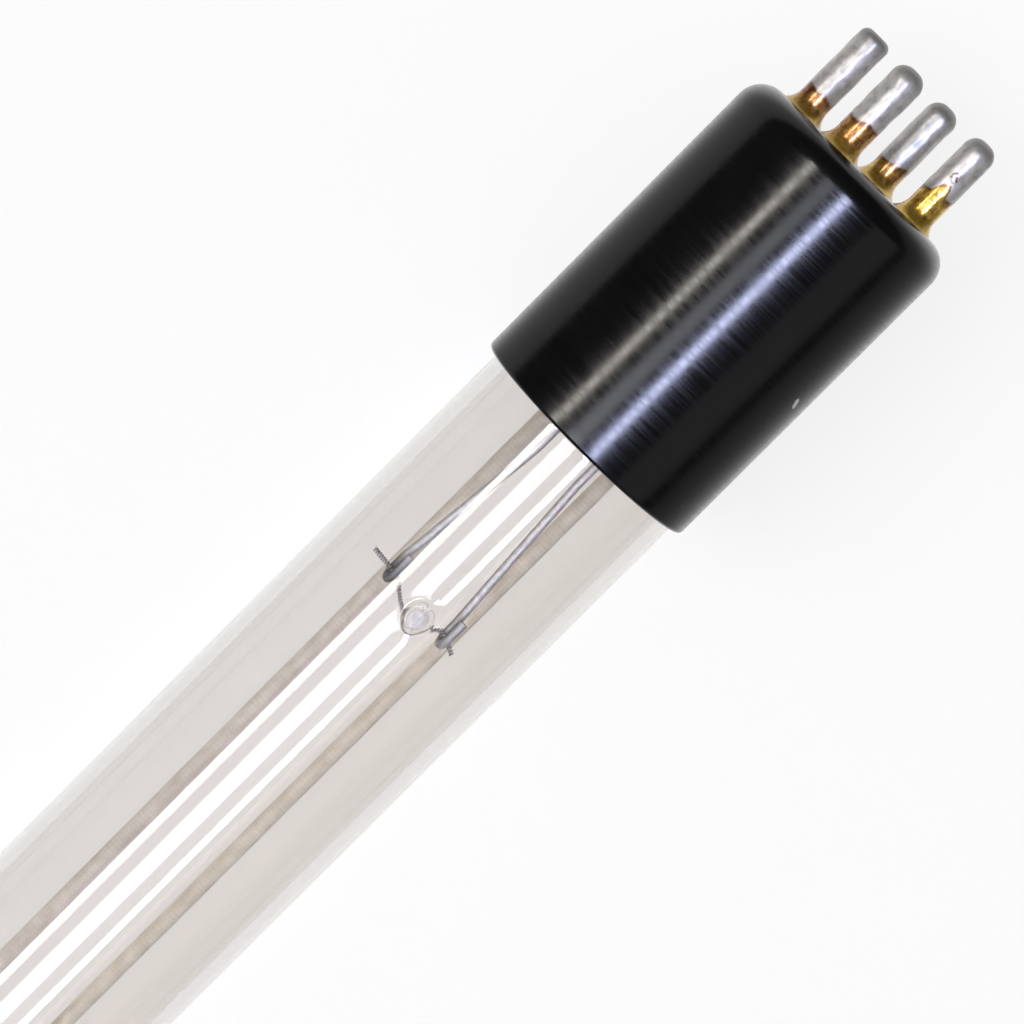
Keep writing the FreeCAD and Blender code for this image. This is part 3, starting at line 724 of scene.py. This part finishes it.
def spread_steps(stops):
    """Rising numbers between stops (place, spacing), finer where the spacing is small."""
    places = [stops[0][0]]
    for (start, spacing), (end, next_spacing) in zip(stops, stops[1:]):
        count = max(1, round((end - start) / ((spacing + next_spacing) / 2)))
        for step in range(1, count + 1):
            share = step / count
            bend = (next_spacing - spacing) / (next_spacing + spacing)
            places.append(start + (end - start) * (share + bend * (share * share - share)))
    return places


def envelope_skin(radius, ends, half_thickness, press, neck, bump):
    """Rings of points for one skin of the tube: round along the barrel, and flattened towards both ends."""
    low, high = ends
    # Rings and sides lie closest together round the stub
    stations = spread_steps([(low, 0.5), (low + press, 0.4), (low + press + neck, 0.5), (STUB_X - 60, 3.0),
                             (STUB_X - 4, 0.5), (STUB_X - 2, 0.1), (STUB_X + 2, 0.1), (STUB_X + 4, 0.5),
                             (high - press - neck, 1.0), (high - press, 0.4), (high, 0.5)])
    angles = spread_steps([(-180, 2.4), (-24, 2.0), (-12, 0.7), (12, 0.7), (24, 2.0), (180, 2.4)])[:-1]
    rings = []
    for x in stations:
        inward = min(x - low, high - x)
        share = min(max((inward - press) / neck, 0.0), 1.0)
        share = share * share * (3 - 2 * share)
        limit = half_thickness + (radius - half_thickness) * share
        ring = []
        for degrees in angles:
            y = -radius * math.sin(math.radians(degrees))
            z = radius * math.cos(math.radians(degrees))
            if share < 1:
                z = math.copysign(min(abs(z), flattened(abs(z), radius, limit)), z)
            if z > 0:
                z += rise(math.hypot((x - STUB_X) * 0.78, y - STUB_Y), *bump)
            ring.append(at(x, y, AXIS_HEIGHT + z))
        rings.append(ring)
    return rings


def flattened(height, radius, limit):
    """A height on a round, pressed down so that the round's top comes to a limit."""
    return limit * math.tanh(height / limit * FLATTENING) / math.tanh(radius / limit * FLATTENING)


def rise(distance, height, radius, foot):
    """The height of a narrow round nub on a flared foot, at a distance from its middle."""
    if distance > foot:
        return 0.0
    return height / (1 + (distance / radius) ** 7) * (1 - (distance / foot) ** 6)


def make_quartz():
    """The envelope: an outer skin with the sealed stub, and the bore with a low hollow under the stub."""
    low, high = tube_low.x, tube_high.x
    outer = envelope_skin(TUBE_RADIUS, (low, high), PRESS_HALF_THICKNESS, PRESS_LENGTH, NECK_LENGTH, STUB)
    bore_ends = (low + PRESS_LENGTH + END_WALL, high - PRESS_LENGTH - END_WALL)
    inner = envelope_skin(TUBE_RADIUS - TUBE_WALL, bore_ends, BORE_HALF_THICKNESS, 0.0,
                          NECK_LENGTH - END_WALL, HOLLOW)
    vertices = []
    faces = []
    for rings, outward in ((outer, True), (inner, False)):
        start = len(vertices)
        count = len(rings[0])
        for ring in rings:
            vertices.extend(ring)
        skin = tube_faces(len(rings), count, start=start)
        faces += skin if outward else [tuple(reversed(face)) for face in skin]
        first = tuple(range(start, start + count))
        last = tuple(range(len(vertices) - count, len(vertices)))
        faces.append(tuple(reversed(first)) if outward else first)
        faces.append(last if outward else tuple(reversed(last)))
    tube = add_mesh("quartz_envelope", vertices, faces, quartz)
    smooth_faces(tube.data)
    sharpen(tube, 40)
    finish_piece(tube, "quartz_tube")


make_quartz()


# Posts, coils and wires

def make_post(name, rim, way, side, node):
    """A post out of the press seal that spreads and hooks round the coil, with its end folded back."""
    bend = HOOK_REACH / math.cos(HOOK_SLANT)
    across = bend * math.sin(HOOK_SLANT)
    down = bend * math.cos(HOOK_SLANT)
    hook_x = COIL_STATION - side * COIL_SKEW / 2
    hook_y = side * HOOK_Y
    corners = [
        (POST_ROOT, side * SEAL_Y, 0),
        (POST_BEND, side * SEAL_Y, 0),
        (hook_x - bend * 2, hook_y + across, -down),
        (hook_x + bend, hook_y + across, -down),
        (hook_x + bend, hook_y - across, down),
        (hook_x - HOOK_FOLD, hook_y - across, down),
    ]
    points = [Vector((rim - way * x, way * y, AXIS_HEIGHT + z)) for x, y, z in round_path(corners, bend)]
    finish_piece(rod(name, points, POST_RADIUS, nickel, sides=20), node)


make_post("post_1", BASE_RIM, 1, 1, "lead_post_1")
make_post("post_2", BASE_RIM, 1, -1, "lead_post_2")
make_post("post_3", FAR_RIM, -1, 1, "lead_post_3")
make_post("post_4", FAR_RIM, -1, -1, "lead_post_4")


def make_coil(name, rim, way, node):
    """A fine coil that sags a little between its hooks, with a long tail and a short one."""
    start, end = -HOOK_Y - SHORT_TAIL, HOOK_Y + LONG_TAIL
    turns = (end - start) / COIL_PITCH
    steps = int(turns * 14)
    points = []
    for step in range(steps + 1):
        y = start + (end - start) * step / steps
        lean = COIL_SKEW / 2 * y / HOOK_Y
        sag = COIL_SAG * max(0.0, 1 - (y / COIL_FREE) ** 2) + TAIL_DROOP * max(0.0, -y / HOOK_Y - 1)
        angle = 2 * math.pi * turns * step / steps
        x = rim - way * (COIL_STATION - lean + sag) + COIL_REACH * math.cos(angle)
        points.append(Vector((x, way * y, AXIS_HEIGHT + COIL_REACH * math.sin(angle))))
    finish_piece(rod(name, points, COIL_WIRE, tungsten, sides=8), node)


make_coil("coil_1", BASE_RIM, 1, "filament_coil_1")
make_coil("coil_2", FAR_RIM, -1, "filament_coil_2")


def into_pin(number):
    """The last two corners of a wire that enters a pin's rivet and ends at the solder."""
    y, z = PIN_CENTRES[number]
    return [(RIVET_END - RIVET_GAP, y, z), (node_box(f"pin_solder_{number}")[0].x, y, z)]


def make_wire(name, corners, node):
    """A round tinned wire through corners."""
    wire = rod(name, round_path(corners, LEAD_BEND), LEAD_RADIUS, lead_wire, sides=16)
    finish_piece(wire, node)


def make_lead(name, side, pin, node):
    """A lead from the press seal into a pin."""
    corners = [
        (tube_high.x - SEAL_DEPTH, side * SEAL_Y, AXIS_HEIGHT),
        (tube_high.x + SEAL_EXIT, side * SEAL_Y, AXIS_HEIGHT),
    ]
    make_wire(name, corners + into_pin(pin), node)


def make_return_wire(name, side, pin, node):
    """A wire from the far press seal through its sleeve into a pin."""
    sleeve_y = side * SLEEVE_Y
    share = CEMENT_RUN / SLEEVE_RUN
    run_y = sleeve_y * share
    run_z = AXIS_HEIGHT + (SLEEVE_Z - AXIS_HEIGHT) * share
    corners = [
        (tube_low.x + SEAL_DEPTH, side * SEAL_Y, AXIS_HEIGHT),
        (FAR_END + FAR_TURN, side * SEAL_Y, AXIS_HEIGHT),
        (FAR_END + FAR_TURN, run_y, run_z),
        (FAR_RIM - RUN_START, run_y, run_z),
        (FAR_RIM - RUN_END, sleeve_y, SLEEVE_Z),
        (BASE_RIM + RUN_END, sleeve_y, SLEEVE_Z),
        (BASE_RIM + RUN_START, run_y, run_z),
        (tube_high.x + SEAL_EXIT, run_y, run_z),
    ]
    make_wire(name, corners + into_pin(pin), node)


make_lead("lead_1", 1, 2, "outer_lead_1")
make_lead("lead_2", -1, 4, "outer_lead_2")
make_return_wire("return_lead_1", 1, 1, "return_wire_1")
make_return_wire("return_lead_2", -1, 3, "return_wire_2")


def make_sleeve(name, node):
    """A woven sleeve, slightly uneven along its length."""
    low, high = node_box(node)
    centre = node_centre(node)
    outer = (high.z - low.z) / 2
    length = high.x - low.x

    def unevenness(x, radius, angle):
        """Shallow lumps, sunk a little into the sleeve's round."""
        return noise.noise(Vector((x * 0.4, math.cos(angle), math.sin(angle) + centre[0]))) * 0.02 - 0.015

    profile = [(low.x, SLEEVE_BORE), (low.x, outer)]
    for step in range(1, SLEEVE_ROWS):
        profile.append((low.x + length * step / SLEEVE_ROWS, outer))
    profile += [(high.x, outer), (high.x, SLEEVE_BORE)]
    sleeve = lathe(name, profile, woven, segments=40, centre=centre, wobble=unevenness)
    sharpen(sleeve, 50)
    finish_piece(sleeve, node)


make_sleeve("woven_sleeve_1", "return_sleeve_1")
make_sleeve("woven_sleeve_2", "return_sleeve_2")


def make_bead():
    """A drop of mercury, a little flattened where it lies."""
    low, high = node_box("mercury_bead")
    radius = (high.x - low.x) / 2
    middle = (low + high) / 2
    grid = bmesh.new()
    bmesh.ops.create_icosphere(grid, subdivisions=4, radius=radius * MM)
    for vertex in grid.verts:
        if vertex.co.z < 0:
            vertex.co.z *= 0.97
    bmesh.ops.translate(grid, verts=grid.verts, vec=at(middle.x, middle.y, middle.z))
    mesh = bpy.data.meshes.new("mercury_drop")
    grid.to_mesh(mesh)
    grid.free()
    smooth_faces(mesh)
    finish_piece(add_object("mercury_drop", mesh, mercury), "mercury_bead")


make_bead()


def dress(name, material):
    """Give a CAD node that stays its material."""
    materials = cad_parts[name].data.materials
    materials.clear()
    materials.append(material)


for number in range(1, 5):
    dress(f"seal_foil_{number}", molybdenum)
dress("base_cement", cement)
dress("far_cement", cement)


# Floor, backdrop and light

# How bright the floor looks by itself, and how bright gloss sees it: far off, on the left and near the lamp.
# Near the lamp, NEAR_GLOSS is divided by the square of the distance aside.
FLOOR_HALF = 1500
FLOOR_GLOW = 0.82
FAR_GLOSS = 0.25
LEFT_GLOSS = 0.3
NEAR_GLOSS = 170.0
NEAR_LIMIT = 15.0
# How bright the world is as a light, and how bright gloss sees it
WORLD_LIGHT = 0.55
WORLD_GLOSS = 0.05
STRIP_DISTANCE = 330
SOFTBOX_X = 25.0
BLUE = (0.64, 0.69, 1.0)
WARM = (1.0, 0.95, 0.88)
PALE = (0.92, 0.94, 1.0)
ROSY = (1.0, 0.97, 0.97)
OVER_GLASS = (-135.0, 46.0)
OVER_CAP = (46.0, 185.0)
OVER_ALL = (-135.0, 185.0)
STRIPS = (
    # name, span along X, angle about the lamp's axis, width, brightness, colour
    ("strip_blue_glass", OVER_GLASS, 14.9, 30, 44, BLUE),
    ("strip_blue_cap", OVER_CAP, 13.0, 38, 44, BLUE),
    ("strip_warm_glass", OVER_GLASS, -30.3, 31, 16.5, WARM),
    ("strip_warm_cap", OVER_CAP, -28.0, 34, 16.5, WARM),
    ("strip_middle_glass", OVER_GLASS, -6.8, 84, 6.0, PALE),
    ("strip_middle_cap", OVER_CAP, -6.6, 64, 3.4, PALE),
    ("strip_side", OVER_ALL, 61, 190, 0.34, ROSY),
)


def floor_material():
    """A pale floor that takes the lamp's shadow, looks almost white, and is dimmer as gloss sees it."""
    shader = Shader("pale_floor")
    grain = shader.noise(0.05, detail=2)
    shader.feed(Base_Color=shader.ramp(grain, (0.2, (0.93, 0.93, 0.93)), (0.8, (0.95, 0.95, 0.95))))
    shader.set(Roughness=0.9, Specular_IOR_Level=0.1)
    path = shader.node("ShaderNodeLightPath")
    through = path.outputs["Is Transmission Ray"]
    seen = shader.math("MAXIMUM", path.outputs["Is Camera Ray"], through)
    mirrored = shader.math("SUBTRACT", path.outputs["Is Glossy Ray"], through)
    gloss = shader.math("GREATER_THAN", mirrored, 0.5)
    across = shader.coordinate("Y")
    aside = shader.math("MAXIMUM", shader.math("ABSOLUTE", across), NEAR_LIMIT)
    near = shader.math("DIVIDE", NEAR_GLOSS, shader.math("MULTIPLY", aside, aside))
    left = shader.math("MULTIPLY", shader.math("GREATER_THAN", across, 0.0), LEFT_GLOSS)
    dimmed = shader.math("SUBTRACT", shader.math("MAXIMUM", near, left), 1.0 - FAR_GLOSS)
    glow = shader.node("ShaderNodeEmission")
    glow.inputs["Color"].default_value = (1, 1, 1, 1)
    shader.link(shader.math("MULTIPLY_ADD", gloss, dimmed, 1.0), glow.inputs["Strength"])
    share = shader.math("MAXIMUM", shader.math("MULTIPLY", seen, FLOOR_GLOW), gloss)
    lit = shader.blend(share, shader.surface.outputs[0], glow.outputs[0])
    shader.link(lit, shader.output.inputs["Surface"])
    return shader.material


def make_floor():
    corners = [at(x * FLOOR_HALF, y * FLOOR_HALF, 0) for x, y in ((-1, -1), (1, -1), (1, 1), (-1, 1))]
    add_mesh("floor", corners, [(0, 1, 2, 3)], floor_material())


def make_world():
    """A backdrop that is white to the camera and through glass, a mild light, and almost dark in gloss."""
    world = bpy.data.worlds.new("studio")
    bpy.context.scene.world = world
    world.use_nodes = True
    studio = Nodes(world.node_tree)
    path = studio.node("ShaderNodeLightPath")
    through = path.outputs["Is Transmission Ray"]
    seen = studio.math("MAXIMUM", path.outputs["Is Camera Ray"], through)
    bright = studio.math("MULTIPLY_ADD", seen, 1.0 - WORLD_LIGHT, WORLD_LIGHT)
    gloss = studio.math("SUBTRACT", path.outputs["Is Glossy Ray"], through, clamp=True)
    background = studio.node("ShaderNodeBackground")
    background.inputs["Color"].default_value = (1, 1, 1, 1)
    studio.link(studio.math("MULTIPLY_ADD", gloss, WORLD_GLOSS - WORLD_LIGHT, bright),
                background.inputs["Strength"])
    output = studio.node("ShaderNodeOutputWorld")
    studio.link(background.outputs[0], output.inputs["Surface"])


def make_light(name, size, brightness, colour):
    """A flat light, by how bright its face looks."""
    light = bpy.data.lights.new(name, "AREA")
    light.shape = "RECTANGLE"
    light.size = size[0] * MM
    light.size_y = size[1] * MM
    light.energy = brightness * math.pi * light.size * light.size_y
    light.color = colour
    obj = bpy.data.objects.new(name, light)
    bpy.context.collection.objects.link(obj)
    return obj


def aim_light(obj, along, direction, distance, side):
    """Stand a light off a place on the lamp in a direction, facing it, with its long side along another."""
    middle = at(along, 0, AXIS_HEIGHT)
    obj.matrix_world = (Matrix.Translation(middle + direction * distance * MM)
                        @ Matrix((side, direction.cross(side), direction)).transposed().to_4x4())


def make_strip(name, span, degrees, width, brightness, colour):
    """A strip light that shows only as a streak in gloss and glass."""
    strip = make_light(name, (span[1] - span[0], width), brightness, colour)
    angle = math.radians(degrees)
    direction = Vector((0, -math.sin(angle), math.cos(angle))).normalized()
    aim_light(strip, (span[0] + span[1]) / 2, direction, STRIP_DISTANCE, Vector((1, 0, 0)))
    strip.visible_diffuse = False


def make_softbox(name, direction, size, distance, brightness):
    """A broad soft light that gives the plain level and the floor's shadow."""
    box = make_light(name, size, brightness, (1.0, 1.0, 1.0))
    direction = Vector(direction).normalized()
    aim_light(box, SOFTBOX_X, direction, distance, direction.orthogonal().normalized())
    box.visible_glossy = False
    box.visible_transmission = False


make_floor()
make_world()
for strip in STRIPS:
    make_strip(*strip)
make_softbox("softbox", (-0.2, 0.5, 1.0), (500, 500), 700, 2.9)


# Camera: the place on the axis right below it, its height above the axis, and the place that it aims at

VIEW_FOOT_X = 104.7
VIEW_HEIGHT = 300.0
AIM_X = 70.035
LENS = 158.84
SENSOR = 36.0


def make_camera():
    """A camera that looks down on the pins' end, with the lamp running from lower left to upper right."""
    camera = bpy.data.cameras.new("camera")
    camera.lens = LENS
    camera.sensor_width = SENSOR
    camera.sensor_fit = "HORIZONTAL"
    camera.clip_start = 0.01
    camera.clip_end = 20
    obj = bpy.data.objects.new("camera", camera)
    bpy.context.collection.objects.link(obj)
    place = at(VIEW_FOOT_X, 0, AXIS_HEIGHT + VIEW_HEIGHT)
    back = (place - at(AIM_X, 0, AXIS_HEIGHT)).normalized()
    to_pins = Vector((1, 0, 0))
    to_pins = (to_pins - back * to_pins.dot(back)).normalized()
    to_right_side = Vector((0, -1, 0))
    right = (to_pins + to_right_side).normalized()
    up = (to_pins - to_right_side).normalized()
    obj.matrix_world = Matrix.Translation(place) @ Matrix((right, up, back)).transposed().to_4x4()
    bpy.context.scene.camera = obj


make_camera()
bpy.context.scene.view_settings.view_transform = "Standard"
